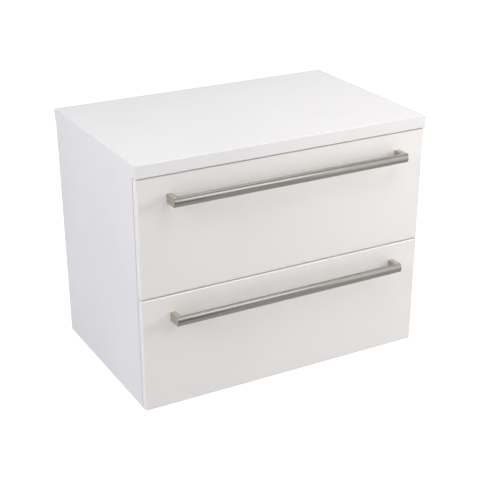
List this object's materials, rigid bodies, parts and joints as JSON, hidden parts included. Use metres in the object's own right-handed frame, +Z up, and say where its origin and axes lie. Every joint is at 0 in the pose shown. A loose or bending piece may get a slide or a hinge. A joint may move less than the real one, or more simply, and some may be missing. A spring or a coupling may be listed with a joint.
{
  "type": "wall-hung vanity unit",
  "caption": "Wall-hung bathroom vanity unit: flat worktop over wide bar-handled drawers on ball-bearing runners, hung on height-adjustable wall hooks.",
  "frame": {"origin": "on the wall plane, at the middle of the four screw holes in the wall plates", "axes": "+X to the right seen from the front, +Y into the wall, +Z up"},
  "size_m": [0.704, 0.482, 0.56],
  "materials": {
    "worktop_laminate": "fine matt white laminate on particle board",
    "front_foil": "satin white foil on fibreboard",
    "carcass_board": "matt white melamine on particle board",
    "drawer_board": "matt white melamine on particle board",
    "handle_metal": "satin nickel-coloured",
    "zinc_steel": "bright zinc plate",
    "cage_steel": "plain pressed steel with hardened balls",
    "beech": "fluted beech",
    "bumper_rubber": "clear soft polyurethane"
  },
  "bodies": {
    "carcass": {"left_side_panel": "carcass_board", "right_side_panel": "carcass_board", "bottom_panel": "carcass_board", "front_rail": "carcass_board", "hanging_rail": "carcass_board", "lower_back_rail": "carcass_board", "worktop": "worktop_laminate", "carcass_screws": "zinc_steel", "carcass_dowels": "beech", "cam_discs": "zinc_steel", "cam_bolts": "zinc_steel", "left_hanger_case": "zinc_steel", "right_hanger_case": "zinc_steel", "bumpers": "bumper_rubber", "upper_left_cabinet_rail": "zinc_steel", "upper_right_cabinet_rail": "zinc_steel", "lower_left_cabinet_rail": "zinc_steel", "lower_right_cabinet_rail": "zinc_steel"},
    "upper_drawer": {"upper_front": "front_foil", "upper_handle_bar": "handle_metal", "upper_handle_posts": "handle_metal", "upper_drawer_screws": "zinc_steel", "upper_left_side": "drawer_board", "upper_right_side": "drawer_board", "upper_inner_front": "drawer_board", "upper_back": "drawer_board", "upper_bottom": "drawer_board", "upper_left_drawer_rail": "zinc_steel", "upper_right_drawer_rail": "zinc_steel", "upper_recess_front": "front_foil", "upper_recess_sides": "drawer_board"},
    "lower_drawer": {"lower_front": "front_foil", "lower_handle_bar": "handle_metal", "lower_handle_posts": "handle_metal", "lower_drawer_screws": "zinc_steel", "lower_left_side": "drawer_board", "lower_right_side": "drawer_board", "lower_inner_front": "drawer_board", "lower_back": "drawer_board", "lower_bottom": "drawer_board", "lower_left_drawer_rail": "zinc_steel", "lower_right_drawer_rail": "zinc_steel"},
    "upper_left_middle": {"upper_left_middle_rail": "zinc_steel"},
    "upper_left_outer_cage": {"upper_left_outer_cage": "cage_steel"},
    "upper_left_inner_cage": {"upper_left_inner_cage": "cage_steel"},
    "upper_right_middle": {"upper_right_middle_rail": "zinc_steel"},
    "upper_right_outer_cage": {"upper_right_outer_cage": "cage_steel"},
    "upper_right_inner_cage": {"upper_right_inner_cage": "cage_steel"},
    "lower_left_middle": {"lower_left_middle_rail": "zinc_steel"},
    "lower_left_outer_cage": {"lower_left_outer_cage": "cage_steel"},
    "lower_left_inner_cage": {"lower_left_inner_cage": "cage_steel"},
    "lower_right_middle": {"lower_right_middle_rail": "zinc_steel"},
    "lower_right_outer_cage": {"lower_right_outer_cage": "cage_steel"},
    "lower_right_inner_cage": {"lower_right_inner_cage": "cage_steel"},
    "left_hanger": {"left_hook": "zinc_steel", "left_wall_plate": "zinc_steel"},
    "left_height_screw": {"left_height_screw": "zinc_steel"},
    "right_hanger": {"right_hook": "zinc_steel", "right_wall_plate": "zinc_steel"},
    "right_height_screw": {"right_height_screw": "zinc_steel"}
  },
  "joints": [
    {"name": "upper_drawer_slide", "type": "slide", "parent": "carcass", "child": "upper_drawer", "axis": [0, -1, 0], "range_m": [0, 0.34]},
    {"name": "lower_drawer_slide", "type": "slide", "parent": "carcass", "child": "lower_drawer", "axis": [0, -1, 0], "range_m": [0, 0.34]},
    {"name": "upper_left_middle_slide", "type": "slide", "parent": "carcass", "child": "upper_left_middle", "axis": [0, -1, 0], "range_m": [0, 0.17]},
    {"name": "upper_left_outer_cage_slide", "type": "slide", "parent": "carcass", "child": "upper_left_outer_cage", "axis": [0, -1, 0], "range_m": [0, 0.085]},
    {"name": "upper_left_inner_cage_slide", "type": "slide", "parent": "carcass", "child": "upper_left_inner_cage", "axis": [0, -1, 0], "range_m": [0, 0.255]},
    {"name": "upper_right_middle_slide", "type": "slide", "parent": "carcass", "child": "upper_right_middle", "axis": [0, -1, 0], "range_m": [0, 0.17]},
    {"name": "upper_right_outer_cage_slide", "type": "slide", "parent": "carcass", "child": "upper_right_outer_cage", "axis": [0, -1, 0], "range_m": [0, 0.085]},
    {"name": "upper_right_inner_cage_slide", "type": "slide", "parent": "carcass", "child": "upper_right_inner_cage", "axis": [0, -1, 0], "range_m": [0, 0.255]},
    {"name": "lower_left_middle_slide", "type": "slide", "parent": "carcass", "child": "lower_left_middle", "axis": [0, -1, 0], "range_m": [0, 0.17]},
    {"name": "lower_left_outer_cage_slide", "type": "slide", "parent": "carcass", "child": "lower_left_outer_cage", "axis": [0, -1, 0], "range_m": [0, 0.085]},
    {"name": "lower_left_inner_cage_slide", "type": "slide", "parent": "carcass", "child": "lower_left_inner_cage", "axis": [0, -1, 0], "range_m": [0, 0.255]},
    {"name": "lower_right_middle_slide", "type": "slide", "parent": "carcass", "child": "lower_right_middle", "axis": [0, -1, 0], "range_m": [0, 0.17]},
    {"name": "lower_right_outer_cage_slide", "type": "slide", "parent": "carcass", "child": "lower_right_outer_cage", "axis": [0, -1, 0], "range_m": [0, 0.085]},
    {"name": "lower_right_inner_cage_slide", "type": "slide", "parent": "carcass", "child": "lower_right_inner_cage", "axis": [0, -1, 0], "range_m": [0, 0.255]},
    {"name": "left_hanger_height", "type": "slide", "parent": "carcass", "child": "left_hanger", "axis": [0, 0, 1], "range_m": [-0.008, 0.008]},
    {"name": "left_height_screw_turn", "type": "hinge", "parent": "carcass", "child": "left_height_screw", "pos_m": [-0.324, -0.0725, 0.002], "axis": [0, 0, 1], "range_deg": [-2880, 2880]},
    {"name": "right_hanger_height", "type": "slide", "parent": "carcass", "child": "right_hanger", "axis": [0, 0, 1], "range_m": [-0.008, 0.008]},
    {"name": "right_height_screw_turn", "type": "hinge", "parent": "carcass", "child": "right_height_screw", "pos_m": [0.324, -0.0725, 0.002], "axis": [0, 0, 1], "range_deg": [-2880, 2880]}
  ],
  "couplings": [
    {"joint": "upper_left_middle_slide", "follows": "upper_drawer_slide", "ratio": 0.5},
    {"joint": "upper_left_outer_cage_slide", "follows": "upper_drawer_slide", "ratio": 0.25},
    {"joint": "upper_left_inner_cage_slide", "follows": "upper_drawer_slide", "ratio": 0.75},
    {"joint": "upper_right_middle_slide", "follows": "upper_drawer_slide", "ratio": 0.5},
    {"joint": "upper_right_outer_cage_slide", "follows": "upper_drawer_slide", "ratio": 0.25},
    {"joint": "upper_right_inner_cage_slide", "follows": "upper_drawer_slide", "ratio": 0.75},
    {"joint": "lower_left_middle_slide", "follows": "lower_drawer_slide", "ratio": 0.5},
    {"joint": "lower_left_outer_cage_slide", "follows": "lower_drawer_slide", "ratio": 0.25},
    {"joint": "lower_left_inner_cage_slide", "follows": "lower_drawer_slide", "ratio": 0.75},
    {"joint": "lower_right_middle_slide", "follows": "lower_drawer_slide", "ratio": 0.5},
    {"joint": "lower_right_outer_cage_slide", "follows": "lower_drawer_slide", "ratio": 0.25},
    {"joint": "lower_right_inner_cage_slide", "follows": "lower_drawer_slide", "ratio": 0.75},
    {"joint": "left_height_screw_turn", "follows": "left_hanger_height", "rad_per_m": -6283.2},
    {"joint": "right_height_screw_turn", "follows": "right_hanger_height", "rad_per_m": -6283.2}
  ]
}
